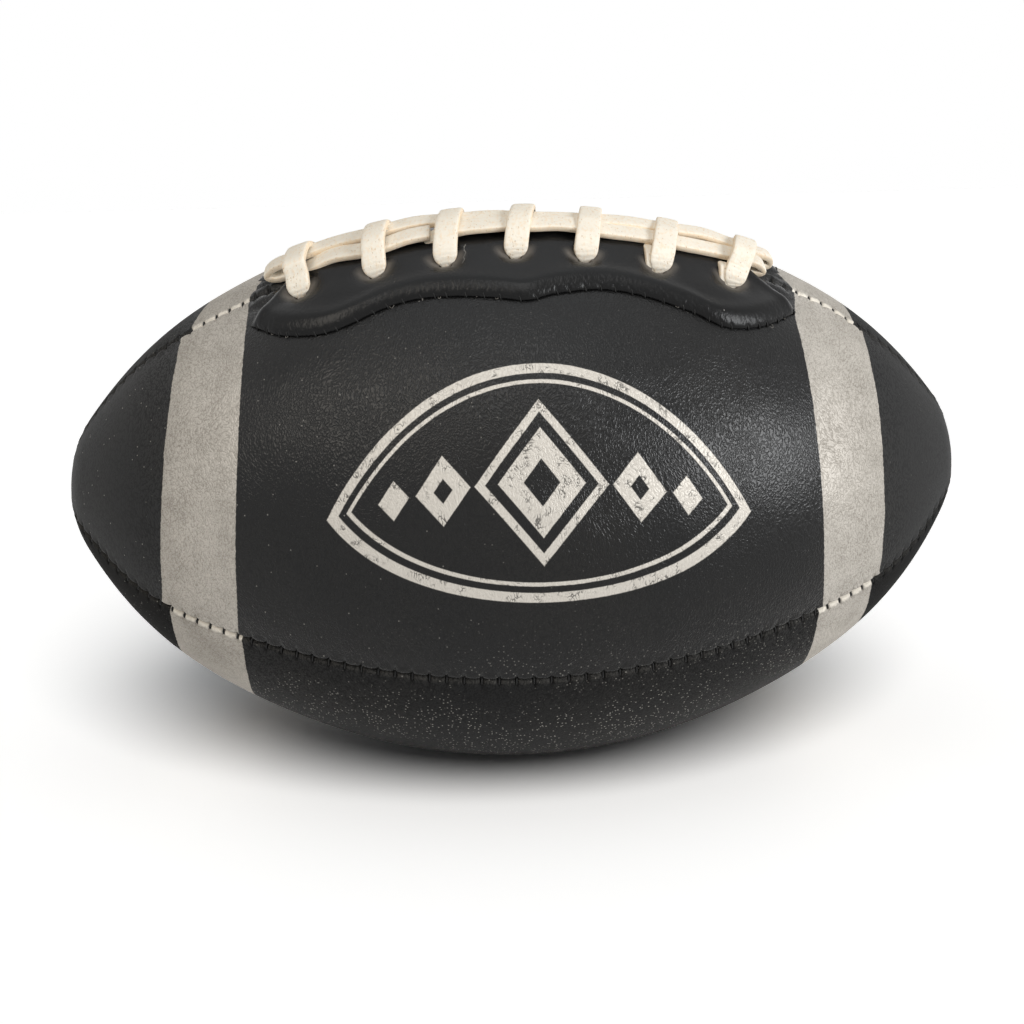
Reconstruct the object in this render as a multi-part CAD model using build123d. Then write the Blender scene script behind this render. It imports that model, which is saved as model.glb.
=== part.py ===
"""American football of four sewn leather panels, laced over a bladder.

Lengths are in millimetres and angles in degrees. The ball is drawn about its own middle, with its long
axis on X, the lacing on top (+Z) and the photographed side at the front (-Y). At the end it is rolled
towards the front, as it lies, and lifted on to the ground at Z = 0.
"""
from build123d import *
import math
import os

# The ball
ball_length = 280.0
ball_diameter = 176.0
tip_radius = 48.0
lace_tilt = 25.5        # how far the lacing leans from the top towards the front
contact_depth = 0.8     # how far the leather is pressed flat where the ball lies

# The cover: leather panels, each with a lining and with its long edges turned in along the seams
leather = 3.0
lining = 1.8
ply_gap = 0.2           # between two layers that lie on each other
seam_gap = 0.4          # between two panels
edge_round = 1.2        # rounding of a panel's edge where it turns into the seam

# The sewing of the seams
thread = 1.0
stitch_pitch = 5.4
stitch_width = 1.6      # of one stitch along the seam
stitch_depth = 1.5      # from the face of the leather to the stitch channel
stitch_reach = 1.4      # how deep a stitch goes into each panel
stitch_fit = 0.15
tip_margin = 8.0        # the part of each seam, next to the tip, that has no stitch

# The lace and its holes
lace_width = 6.2
lace_thickness = 1.9
lace_count = 7
lace_pitch = 20.8       # from one cross lace to the next, along the leather
lace_lean = 6.0         # how far each cross lace is turned from square
hole_offset = 13.8      # from the slit to the middle of a lace hole
slot_fit = 0.25         # between the lace and the wall of its hole
strand_gap = 0.15       # between the strands and the facings, and between two strands
strand_reach = 69.0     # from the middle to where the strands turn round
strand_shift = 20.8     # from the middle to where the strands move over to make room for the tail
shift_length = 14.0
tail_end = 26.0         # from the middle to the cut end of the tail
loop_height = 4.6
cross_bite = 0.15       # how far a cross lace is pressed into the strands
cross_bend = 1.8        # outer radius of a bend in a cross lace

# The lace facings
facing_thickness = 2.2
facing_slit = 1.2       # from the middle of the slit to the edge of a facing
facing_depth = 25.0     # from the middle of the slit to the middle of the wavy edge
facing_wave = 1.9
facing_lobe = 26.5      # from the crest of a lobe to the next hollow
facing_corner_x = 78.5
facing_corner_y = 11.5
facing_inner_x = 68.0

# The sewing of the facings
edge_stitch = 3.8
edge_thread = 0.9
edge_fit = 0.15

# Under the slit: room for the inside runs of the lace, then the tongue
slit_leather = 1.6      # what is left of the leather where it is pared for the lace
slit_margin = 2.6       # from the lace holes to the edge of the pared strip
slit_end_margin = 7.0   # from the last cross lace to the end of the pared strip
tongue = 1.1
tongue_fit = 0.3
run_inset = 0.1

# The bladder and its valve
bladder_gap = 0.3
bladder_wall = 1.0
valve_angle = 45.0      # from the lacing towards the rear
valve_radius = 4.0
valve_recess = 0.5
valve_fit = 0.2
flange_radius = 9.0
flange_thickness = 1.5
plug_radius = 2.2
plug_foot_radius = 3.6
plug_foot = 1.2
needle_radius = 0.9

# Worked out from the sizes above
half_length = ball_length / 2
half_girth = ball_diameter / 2
belly_radius = (half_length**2 - 2 * half_length * tip_radius + half_girth**2) / (2 * (half_girth - tip_radius))
belly_centre = half_girth - belly_radius
tip_centre = half_length - tip_radius
turn = math.atan2(tip_centre, -belly_centre)
belly_arc = belly_radius * turn
seam_half = belly_arc + tip_radius * (math.pi / 2 - turn)
reach = 2 * ball_length
fold_depth = leather + ply_gap + lining
lace_bed = slit_leather + ply_gap
lace_floor = lace_bed + lace_thickness
tongue_top = lace_floor + ply_gap
bladder_depth = max(fold_depth, tongue_top + tongue) + bladder_gap
bladder_inside = bladder_depth + bladder_wall
facing_top = ply_gap + facing_thickness
strand_base = facing_top + strand_gap
strand_top = strand_base + lace_thickness
cross_base = strand_top - cross_bite
cross_top = cross_base + lace_thickness
strand_step = lace_width + strand_gap
strand_edge = strand_step / 2 + lace_width / 2
last_cross = (lace_count - 1) / 2 * lace_pitch
cross_arcs = [i * lace_pitch - last_cross for i in range(lace_count)]
slit_half_width = hole_offset + lace_thickness / 2 + slit_margin
slit_half_length = last_cross + lace_width / 2 + slit_end_margin
channel_height = thread + 2 * stitch_fit
channel_reach = seam_gap / 2 + stitch_reach
slot_cut = 4 * (facing_top + fold_depth)


def section_curves(depth):
    """The upper half of the ball's lengthwise outline, moved in by depth: tip, belly and tip arc."""
    tip = tip_radius - depth
    top = half_girth - depth
    joint_x = tip_centre + tip * math.sin(turn)
    joint_z = tip * math.cos(turn)
    bend = (turn + math.pi / 2) / 2
    bend_x = tip_centre + tip * math.sin(bend)
    bend_z = tip * math.cos(bend)
    end_x = tip_centre + tip
    left = ThreePointArc((-end_x, 0), (-bend_x, bend_z), (-joint_x, joint_z))
    belly = ThreePointArc((-joint_x, joint_z), (0, top), (joint_x, joint_z))
    right = ThreePointArc((joint_x, joint_z), (bend_x, bend_z), (end_x, 0))
    return [left, belly, right]


def ball(depth):
    """The whole ball as a solid, with its skin moved in by depth, or out where depth is negative."""
    curves = section_curves(depth)
    end_x = half_length - depth
    half = make_face(curves + [Line((end_x, 0), (-end_x, 0))])
    return revolve(half, Axis.X, 360)


def layer(outer, inner):
    """The shell of the ball between two depths."""
    return ball(outer) - ball(inner)


def meridian_slab(outer, inner, half_width):
    """A flat ring in the plane of the lacing, between two depths, half_width thick to each side."""
    rings = []
    for depth in (outer, inner):
        upper = section_curves(depth)
        lower = [mirror(curve, Plane.XZ) for curve in upper]
        rings.append(make_face(upper + lower))
    return extrude(Plane.XZ * (rings[0] - rings[1]), amount=half_width, both=True)


def meridian(arc):
    """Where the lace seam is, arc along it from the middle: X along the seam, Z out of the leather."""
    side = math.copysign(1, arc)
    if abs(arc) <= belly_arc:
        angle = arc / belly_radius
        x = belly_radius * math.sin(angle)
        z = belly_centre + belly_radius * math.cos(angle)
    else:
        angle = side * (turn + (abs(arc) - belly_arc) / tip_radius)
        x = side * tip_centre + tip_radius * math.sin(angle)
        z = tip_radius * math.cos(angle)
    along = (math.cos(angle), 0, -math.sin(angle))
    out = (math.sin(angle), 0, math.cos(angle))
    return Location(Plane(origin=(x, 0, z), x_dir=along, z_dir=out))


def quadrant(side, level, inset):
    """A block that holds one quarter of the ball, inset from the two seam planes."""
    middle = inset + reach / 2
    return Pos(0, side * middle, level * middle) * Box(2 * reach, reach, reach)


def above_slit(half_x, half_y):
    """A block over the lacing slit."""
    return Pos(0, 0, reach / 2) * Box(2 * half_x, 2 * half_y, reach)


def upright(outline):
    """A plan drawn over the lacing, raised to a block that passes through the leather."""
    return extrude(outline, amount=reach)


def cross_frame(arc):
    """Where a cross lace is, turned by its lean."""
    return meridian(arc) * Rot(0, 0, -lace_lean)


def lace_slots():
    """The blocks that cut the lace holes."""
    slot = Box(lace_width + 2 * slot_fit, lace_thickness + 2 * slot_fit, slot_cut)
    slots = []
    for arc in cross_arcs:
        for side in (-1, 1):
            slots.append(cross_frame(arc) * Pos(0, side * hole_offset, 0) * slot)
    return slots


def valve_cylinder(radius):
    """A round bar along the valve's axis, from the middle of the ball outwards."""
    bar = Cylinder(radius, reach, align=(Align.CENTER, Align.CENTER, Align.MIN))
    return Rot(-valve_angle, 0, 0) * bar


def skin_depth(point):
    """How deep a point lies under the face of the leather."""
    radius = math.hypot(point.Y, point.Z)
    if abs(point.X) <= tip_centre + radius * math.tan(turn):
        return belly_radius - math.hypot(point.X, radius - belly_centre)
    return tip_radius - math.hypot(abs(point.X) - tip_centre, radius)


def panel(side, level):
    """One leather panel: a quarter of the cover, with both long edges turned in to the lining's depth."""
    whole = layer(0, fold_depth) & quadrant(side, level, seam_gap / 2)
    hollow = ball(leather) & quadrant(side, level, seam_gap / 2 + leather)
    return whole - hollow


def lining_piece(side, level):
    """The fabric behind one panel, between its turned-in edges."""
    inset = seam_gap / 2 + leather + ply_gap
    return layer(leather + ply_gap, fold_depth) & quadrant(side, level, inset)


def facing_outline():
    """Plan of one facing: straight at the slit, three lobes along the other edge, slanted ends."""
    crests = []
    for step in range(-2, 3):
        crests.append((step * facing_lobe, facing_depth + facing_wave * math.cos(step * math.pi)))
    shoulder_x = (2 * facing_lobe + facing_corner_x) / 2
    shoulder_y = facing_depth - facing_wave
    edge = [(-facing_corner_x, facing_corner_y), (-shoulder_x, shoulder_y)]
    edge += crests
    edge += [(shoulder_x, shoulder_y), (facing_corner_x, facing_corner_y)]
    wavy = Spline(*edge)
    rest = Polyline(
        (facing_corner_x, facing_corner_y),
        (facing_inner_x, facing_slit),
        (-facing_inner_x, facing_slit),
        (-facing_corner_x, facing_corner_y),
    )
    return wavy, make_face([wavy, rest])


def over_surface(height, offset, radius):
    """Height over a cross lace's frame of a layer that follows the round of the ball."""
    return math.sqrt((radius + height)**2 - offset**2) - radius


def cross_lace(arc):
    """One cross lace: out of the front hole, up over the strands and down the rear hole."""
    frame = cross_frame(arc)
    radius = frame.position.Z / math.cos(arc / belly_radius)
    outer = hole_offset + lace_thickness / 2
    inner = hole_offset - lace_thickness / 2
    shoulder = strand_edge + lace_thickness / 2
    low = -(lace_floor + lace_thickness)
    rise = over_surface(strand_base, hole_offset, radius)
    top = ThreePointArc(
        (-shoulder, over_surface(cross_top, shoulder, radius)),
        (0, cross_top),
        (outer, over_surface(cross_top, outer, radius)),
    )
    base = ThreePointArc(
        (inner, over_surface(cross_base, inner, radius)),
        (0, cross_base),
        (-strand_edge, over_surface(cross_base, strand_edge, radius)),
    )
    front_outside = Polyline((-outer, low), (-outer, rise + lace_thickness), top @ 0)
    rear = Polyline(top @ 1, (outer, low), (inner, low), base @ 0)
    front_inside = Polyline(base @ 1, (-inner, rise), (-inner, low), (-outer, low))
    face = make_face([front_outside, top, rear, base, front_inside])
    bends = [Vector(-outer, rise + lace_thickness), top @ 0, top @ 1]
    corners = [face.vertices().sort_by_distance(bend)[0] for bend in bends]
    face = fillet(corners, cross_bend)
    return frame * extrude(Plane.YZ * face, amount=lace_width / 2, both=True) - ball(lace_floor)


def band_plan(points, width):
    """Plan of a strip, width wide across Y, through points that follow each other along X."""
    near = [(x, y - width / 2) for x, y in points]
    far = [(x, y + width / 2) for x, y in reversed(points)]
    return make_face(Polyline(*near, *far, close=True))


def strand(points):
    """A strand of lace that lies on the facings."""
    return layer(-strand_top, -strand_base) & upright(band_plan(points, lace_width))


def strands():
    """The two strands along the slit and the tail, as they lie from the front to the rear."""
    ends = strand_reach
    right = -strand_shift + shift_length / 2
    left = -strand_shift - shift_length / 2
    front = -strand_step / 2
    middle = strand_step / 2
    rear = middle + strand_step
    first = strand([(-ends, middle), (left, middle), (right, front), (ends, front)])
    second = strand([(-last_cross, rear), (left, rear), (right, middle), (ends, middle)])
    tail = strand([(-ends, front), (-tail_end - lace_thickness, front)])
    return [first, second, tail]


def end_loop(side):
    """The lace stood on its edge where it turns round, at the end of the strands."""
    arc = side * belly_radius * math.asin(strand_reach / belly_radius)
    middle = strand_step / 2
    ring = Circle(middle + lace_thickness / 2) - Circle(middle - lace_thickness / 2)
    beyond = Pos(side * middle, 0) * Rectangle(2 * middle, 3 * lace_width)
    bend = ring & beyond
    legs = Pos(-side * lace_thickness / 2, 0) * Rectangle(lace_thickness + strand_gap, lace_thickness)
    legs = Pos(0, middle) * legs + Pos(0, -middle) * legs
    loop = extrude(bend + legs, amount=loop_height)
    return meridian(arc) * Pos(0, 0, strand_base + run_inset) * loop


def inside_run(arc):
    """The slanted run under the leather, from one rear hole to the next front hole."""
    start = (cross_frame(arc) * Pos(0, hole_offset, 0)).position
    end = (cross_frame(arc + lace_pitch) * Pos(0, -hole_offset, 0)).position
    half = lace_width / 2 - run_inset
    plan = Polyline(
        (start.X - half, start.Y + lace_thickness / 2 - run_inset),
        (start.X + half, start.Y + lace_thickness / 2 - run_inset),
        (end.X + half, end.Y - lace_thickness / 2 + run_inset),
        (end.X - half, end.Y - lace_thickness / 2 + run_inset),
        close=True,
    )
    return layer(lace_bed + run_inset, lace_floor - run_inset) & upright(make_face(plan))


def lace():
    """The whole lace, fused where it passes over itself."""
    pieces = strands()
    pieces += [end_loop(-1), end_loop(1)]
    pieces += [cross_lace(arc) for arc in cross_arcs]
    pieces += [inside_run(arc) for arc in cross_arcs[:-1]]
    return pieces[0] + pieces[1:]


def stitch(arc):
    """One stitch of the lace seam, across the channel of the two panels."""
    bar = Box(stitch_width, 2 * (channel_reach - stitch_fit), thread)
    return meridian(arc) * Pos(0, 0, -(stitch_depth + channel_height / 2)) * bar


def stitch_arcs(start, end):
    """Places of the stitches of a seam, evenly spaced between two ends."""
    count = int((end - start) / stitch_pitch)
    spare = (end - start - count * stitch_pitch) / 2
    return [start + spare + i * stitch_pitch for i in range(count + 1)]


def seam_thread(roll, start, end):
    """The stitches of one seam, rolled round from the lace seam."""
    return Compound([Rot(roll, 0, 0) * stitch(arc) for arc in stitch_arcs(start, end)])


def edge_thread_run(side):
    """The stitches along the wavy edge of a facing, lying in the corner between it and the panel."""
    wavy, _ = facing_outline()
    count = int(wavy.length / stitch_pitch)
    bars = []
    for i in range(count):
        at = (i + 0.5) / count
        here = wavy @ at
        along = wavy % at
        away = Vector(-along.Y, along.X) * (edge_fit + edge_thread / 2)
        spot = here + away
        angle = math.asin(spot.X / belly_radius)
        girth = belly_centre + belly_radius * math.cos(angle)
        height = math.sqrt(girth**2 - spot.Y**2)
        out = Vector(math.tan(angle) * girth, side * spot.Y, height).normalized()
        point = Vector(spot.X, side * spot.Y, height) + out * (ply_gap + edge_thread / 2)
        lengthwise = Vector(along.X, side * along.Y, 0)
        lengthwise = (lengthwise - out * lengthwise.dot(out)).normalized()
        frame = Plane(origin=point, x_dir=lengthwise, z_dir=out)
        bars.append(Location(frame) * Box(edge_stitch, edge_thread, edge_thread))
    return Compound(bars)


def valve_housing():
    """The rubber valve body: a neck through the cover and a flange inside the bladder."""
    seat = bladder_inside + valve_fit
    flange = layer(seat, seat + flange_thickness) & valve_cylinder(flange_radius)
    neck = layer(valve_recess, seat + flange_thickness / 2) & valve_cylinder(valve_radius)
    return flange + neck - valve_cylinder(plug_radius + valve_fit)


def valve_plug():
    """The soft plug in the valve, with a foot behind the flange and the needle hole along its axis."""
    behind = bladder_inside + 2 * valve_fit + flange_thickness
    stem = layer(valve_recess, behind + plug_foot / 2) & valve_cylinder(plug_radius)
    foot = layer(behind, behind + plug_foot) & valve_cylinder(plug_foot_radius)
    return stem + foot - valve_cylinder(needle_radius)


quarters = {"front": (-1, 1), "top": (1, 1), "bottom": (-1, -1), "rear": (1, -1)}
nodes = {}

lace_zone = above_slit(slit_half_length, slit_half_width)
slots = lace_slots()
channel = meridian_slab(stitch_depth, stitch_depth + channel_height, channel_reach)
lace_channel = channel - lace_zone
girth_channel = Rot(90, 0, 0) * channel
pared = ball(slit_leather) & lace_zone

for name, (side, level) in quarters.items():
    cover = panel(side, level)
    seam_edges = []
    for edge in cover.edges():
        middle = edge @ 0.5
        beside_seam = min(abs(abs(middle.Y) - seam_gap / 2), abs(abs(middle.Z) - seam_gap / 2))
        if beside_seam < stitch_fit and abs(skin_depth(middle)) < stitch_fit:
            seam_edges.append(edge)
    cover = fillet(seam_edges, edge_round)
    cover = cover - girth_channel - lace_channel
    backing = lining_piece(side, level)
    if level > 0:
        cover = cover - pared
        cover = cover - slots
        backing = backing - lace_zone
    if name == "top":
        cover = cover - valve_cylinder(valve_radius + valve_fit)
        backing = backing - valve_cylinder(valve_radius + valve_fit)
    nodes["panel_" + name] = cover
    nodes["lining_" + name] = backing

for name, side in (("front", -1), ("top", 1)):
    _, plan = facing_outline()
    block = upright(plan)
    if side < 0:
        block = mirror(block, Plane.XZ)
    nodes["lace_facing_" + name] = (layer(-facing_top, -ply_gap) & block) - slots
    nodes["facing_thread_" + name] = edge_thread_run(side)

tongue_block = above_slit(slit_half_length - tongue_fit, slit_half_width - tongue_fit)
nodes["lace_tongue"] = layer(tongue_top, tongue_top + tongue) & tongue_block
nodes["lace"] = lace()

sewn_end = seam_half - tip_margin
slit_end = belly_radius * math.asin(slit_half_length / belly_radius) + stitch_pitch / 2
nodes["seam_thread_lace_left"] = seam_thread(0, -sewn_end, -slit_end)
nodes["seam_thread_lace_right"] = seam_thread(0, slit_end, sewn_end)
nodes["seam_thread_front_bottom"] = seam_thread(90, -sewn_end, sewn_end)
nodes["seam_thread_bottom_rear"] = seam_thread(180, -sewn_end, sewn_end)
nodes["seam_thread_rear_top"] = seam_thread(-90, -sewn_end, sewn_end)

nodes["bladder"] = layer(bladder_depth, bladder_inside) - valve_cylinder(valve_radius + valve_fit)
nodes["valve_housing"] = valve_housing()
nodes["valve_plug"] = valve_plug()

os.makedirs("parts", exist_ok=True)
ground = Pos(0, 0, -reach / 2) * Box(2 * reach, 2 * reach, reach)
lie = Pos(0, 0, half_girth - contact_depth) * Rot(lace_tilt, 0, 0)
for name, piece in nodes.items():
    placed = lie * piece
    if name == "panel_bottom":
        placed = placed - ground
    export_step(placed, "parts/" + name + ".step")
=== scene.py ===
# %% [markdown]
# An American football lies on its side: four pointed panels of black leather sewn round a bladder, a slit
# on top between two soft facings, and one flat cream lace that closes it. The solids come from the frame.
# This lesson dresses them: it makes the leather, the lace and the sewing as surfaces worked out with numpy.

import bmesh
import bpy
import numpy as np
from mathutils import Matrix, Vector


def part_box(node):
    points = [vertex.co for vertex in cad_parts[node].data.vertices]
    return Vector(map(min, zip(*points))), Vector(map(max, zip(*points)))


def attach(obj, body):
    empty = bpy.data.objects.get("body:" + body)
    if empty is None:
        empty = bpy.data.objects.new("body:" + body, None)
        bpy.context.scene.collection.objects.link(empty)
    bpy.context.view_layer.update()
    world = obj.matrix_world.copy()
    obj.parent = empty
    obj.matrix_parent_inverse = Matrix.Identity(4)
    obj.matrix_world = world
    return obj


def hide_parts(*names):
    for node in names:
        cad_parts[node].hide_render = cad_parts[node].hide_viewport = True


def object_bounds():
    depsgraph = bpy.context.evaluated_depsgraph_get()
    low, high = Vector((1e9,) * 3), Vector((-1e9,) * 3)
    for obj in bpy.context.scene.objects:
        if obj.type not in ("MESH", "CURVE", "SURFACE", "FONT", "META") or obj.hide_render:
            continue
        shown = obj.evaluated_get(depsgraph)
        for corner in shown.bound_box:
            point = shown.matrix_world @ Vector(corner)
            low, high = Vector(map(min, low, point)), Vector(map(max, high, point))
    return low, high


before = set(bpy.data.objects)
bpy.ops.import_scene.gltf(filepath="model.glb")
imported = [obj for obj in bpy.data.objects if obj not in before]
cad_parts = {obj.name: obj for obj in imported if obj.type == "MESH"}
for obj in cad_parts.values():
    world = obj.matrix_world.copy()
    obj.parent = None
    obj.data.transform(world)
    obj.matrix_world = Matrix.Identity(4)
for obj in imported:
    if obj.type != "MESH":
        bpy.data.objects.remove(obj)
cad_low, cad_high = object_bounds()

MM = 0.001
cad_size = [round(v / MM, 1) for v in cad_high - cad_low]
print("solids in the frame:", len(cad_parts), "box in mm:", cad_size)

# %% [markdown]
# Everything on a ball follows its skin, so the first tool is a function for that skin. The lengthwise
# outline is a long belly arc that runs smoothly into a small tip arc. A revolve of it would be enough for a
# new ball. A used one is pulled a little square by its four seams and bent up towards the lacing, so the
# function adds both. All sizes below are in millimetres until the last step of a piece.

# %% The skin of the ball
front_low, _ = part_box("panel_front")
_, top_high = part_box("panel_top")
STRETCH = 0.67
HALF_LENGTH = (cad_high.x - cad_low.x) / 2 / MM + STRETCH
HALF_GIRTH = -front_low.y / MM
CENTRE_Z = top_high.z / MM - HALF_GIRTH
TIP_RADIUS = 34.35
END_FULLNESS = 0.091
END_FULL_AT = 132
END_FULL_WIDTH = 36.8
LACE_TILT = np.radians(25.5)
SQUARENESS = 0.011
BEND = 0.00063
END_LIFT = (0.4, 1.7)
END_LIFT_AT = 130
LOW_SEAM_RISE = 0.9
LOW_SEAM_SAG = 2.3
LOW_SEAM_AT = 105
LOW_SEAM_FADE = (115, 150)
STRAY_RIGHT = 2.2
STRAY_RIGHT_FROM = (104, 116)
STRAY_LEFT = 1.6
STRAY_LEFT_FROM = (114, 130)
STRAY_FADE = (146, 165)
LEAST_GIRTH = 20
DIP_DEPTH = 2.1
DIP_SPOT = -34.0
DIP_WIDTH = 20.0
DIP_FADE = (25, 85)
DIP_OUTER_FACE = (-2.8, -1.6)
belly_sum = HALF_LENGTH**2 - 2 * HALF_LENGTH * TIP_RADIUS + HALF_GIRTH**2
BELLY_RADIUS = belly_sum / (2 * (HALF_GIRTH - TIP_RADIUS))
BELLY_CENTRE = HALF_GIRTH - BELLY_RADIUS
TIP_CENTRE = HALF_LENGTH - TIP_RADIUS
TURN = np.arctan2(TIP_CENTRE, -BELLY_CENTRE)
BELLY_ARC = BELLY_RADIUS * TURN
SEAM_HALF = BELLY_ARC + TIP_RADIUS * (np.pi / 2 - TURN)


def smooth_step(low, high, value):
    """0 below low, 1 above high, and the cubic 3t^2 - 2t^3 between them."""
    t = np.clip((value - low) / (high - low), 0, 1)
    return t * t * (3 - 2 * t)


def bell(away, width):
    """1 at 0, falling off on both sides as exp(-(away / width)^2)."""
    return np.exp(-(away / width)**2)


def meridian(arc):
    """Lengthwise outline at a distance from the middle: x, girth radius, and the outward direction of both.

    The angle of the outline grows by arc / radius, first on the belly arc and then on the tip arc. The girth
    is then multiplied by 1 + c times a bell, because the ends are fuller than two arcs make them.
    """
    away = np.abs(arc)
    side = np.sign(arc)
    belly = away <= BELLY_ARC
    angle = np.where(belly, away / BELLY_RADIUS, TURN + (away - BELLY_ARC) / TIP_RADIUS)
    x = np.where(belly, BELLY_RADIUS * np.sin(angle), TIP_CENTRE + TIP_RADIUS * np.sin(angle))
    girth = np.where(belly, BELLY_CENTRE + BELLY_RADIUS * np.cos(angle), TIP_RADIUS * np.cos(angle))
    girth = girth * (1 + END_FULLNESS * bell(x - END_FULL_AT, END_FULL_WIDTH))
    return side * x, np.maximum(girth, 0), side * np.sin(angle), np.cos(angle)


def skin(arc, roll, stand):
    """A point in metres, from the distance along the seam, the angle round from the lacing and the height.

    The girth radius is multiplied by 1 + q cos(4 roll), so that it is largest at the four seams. The low
    seam in front runs a little flatter than a quarter of the way round, and the seam of the lacing strays by
    about two millimetres near the ends. Behind the slit the outer face of the leather dips, where the lace
    pulls on it. Then the long axis is bent: x shrinks by the height over the axis, and the axis itself rises
    by half the bend times x squared, and a little more at the ends.
    """
    x, girth, out_x, out_girth = meridian(arc)
    away = np.abs(arc)
    sag = LOW_SEAM_SAG * (arc / LOW_SEAM_AT)**2 - LOW_SEAM_RISE
    sag = sag * (1 - smooth_step(*LOW_SEAM_FADE, away))
    roll = roll + sag * np.maximum(np.sin(roll), 0)**2 / np.maximum(girth, LEAST_GIRTH)
    stray = STRAY_RIGHT * smooth_step(*STRAY_RIGHT_FROM, arc)
    stray = stray - STRAY_LEFT * smooth_step(*STRAY_LEFT_FROM, -arc)
    stray = stray * (1 - smooth_step(*STRAY_FADE, away))
    roll = roll + stray * np.maximum(np.cos(roll), 0)**2 / np.maximum(girth, LEAST_GIRTH)
    behind = (girth * roll - DIP_SPOT) / DIP_WIDTH
    dip = DIP_DEPTH * np.exp(-behind**4) * (1 - smooth_step(*DIP_FADE, away))
    dip = dip * smooth_step(*DIP_OUTER_FACE, stand)
    radius = girth * (1 + SQUARENESS * np.cos(4 * roll)) + stand * out_girth - dip
    x = x + stand * out_x
    up = radius * np.cos(roll)
    across = radius * np.sin(roll)
    end_lift = np.where(x < 0, END_LIFT[0], END_LIFT[1]) * np.abs(x / END_LIFT_AT)**3
    up_bent = up + BEND * x**2 / 2 + end_lift
    x_bent = x * (1 - BEND * up)
    y = -(up_bent * np.sin(LACE_TILT) + across * np.cos(LACE_TILT))
    z = up_bent * np.cos(LACE_TILT) - across * np.sin(LACE_TILT) + CENTRE_Z
    return np.stack(np.broadcast_arrays(x_bent, y, np.maximum(z, 0)), axis=-1) * MM


print("belly radius", round(BELLY_RADIUS, 1), "mm, seam from tip to tip", round(2 * SEAM_HALF, 1), "mm")

# %% [markdown]
# The camera stands low in front of the ball, a little to the left, and so near that the lacing is seen from
# in front. It is aimed a little under the middle of the ball, as the photographer framed it.

# %% The camera
CAMERA_DISTANCE = 450.0
CAMERA_RISE = np.radians(12.77)
CAMERA_TURN = np.radians(-2.81)
CAMERA_ROLL = np.radians(-1.395)
IMAGE_SIZE = 1024
FOCAL_PIXELS = 1380.6
BALL_PIXEL = (515.2, 483.1)

back = np.array([
    np.sin(CAMERA_TURN) * np.cos(CAMERA_RISE),
    -np.cos(CAMERA_TURN) * np.cos(CAMERA_RISE),
    np.sin(CAMERA_RISE),
])
level = np.array([np.cos(CAMERA_TURN), np.sin(CAMERA_TURN), 0])
upright = np.cross(back, level)
right = level * np.cos(CAMERA_ROLL) + upright * np.sin(CAMERA_ROLL)
up = upright * np.cos(CAMERA_ROLL) - level * np.sin(CAMERA_ROLL)
place = np.array([0, 0, CENTRE_Z]) + back * CAMERA_DISTANCE
aim_right = (BALL_PIXEL[0] - IMAGE_SIZE / 2) / FOCAL_PIXELS
aim_up = (IMAGE_SIZE / 2 - BALL_PIXEL[1]) / FOCAL_PIXELS
axis = back + aim_up * up + aim_right * right
axis = axis / np.linalg.norm(axis)
right = np.cross(up, axis)
right = right / np.linalg.norm(right)
up = np.cross(axis, right)

camera_data = bpy.data.cameras.new("photo_camera")
camera_data.sensor_width = 36
camera_data.lens = FOCAL_PIXELS / IMAGE_SIZE * camera_data.sensor_width
camera = bpy.data.objects.new("photo_camera", camera_data)
bpy.context.collection.objects.link(camera)
matrix = np.eye(4)
matrix[:3, 0], matrix[:3, 1], matrix[:3, 2], matrix[:3, 3] = right, up, axis, place * MM
camera.matrix_world = Matrix(matrix.tolist())
bpy.context.scene.camera = camera
bpy.context.scene.view_settings.view_transform = "Standard"
print("lens", round(camera_data.lens, 1), "mm, camera height", round(place[2], 1), "mm")

# %% [markdown]
# Shader graphs are easier to read as sums than as boxes and wires. A wire below is one output socket.
# Adding or multiplying wires adds a Math node, and one method makes every other kind of node.


# %% Shader sums
def math_node(operation, number_first=False):
    """A method of wires that adds a Math node, with the wire first or a number before it."""
    def method(wire, other=0):
        pair = {0: other, 1: wire} if number_first else {0: wire, 1: other}
        return wire.node("ShaderNodeMath", {"operation": operation}, pair)
    return method


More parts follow.
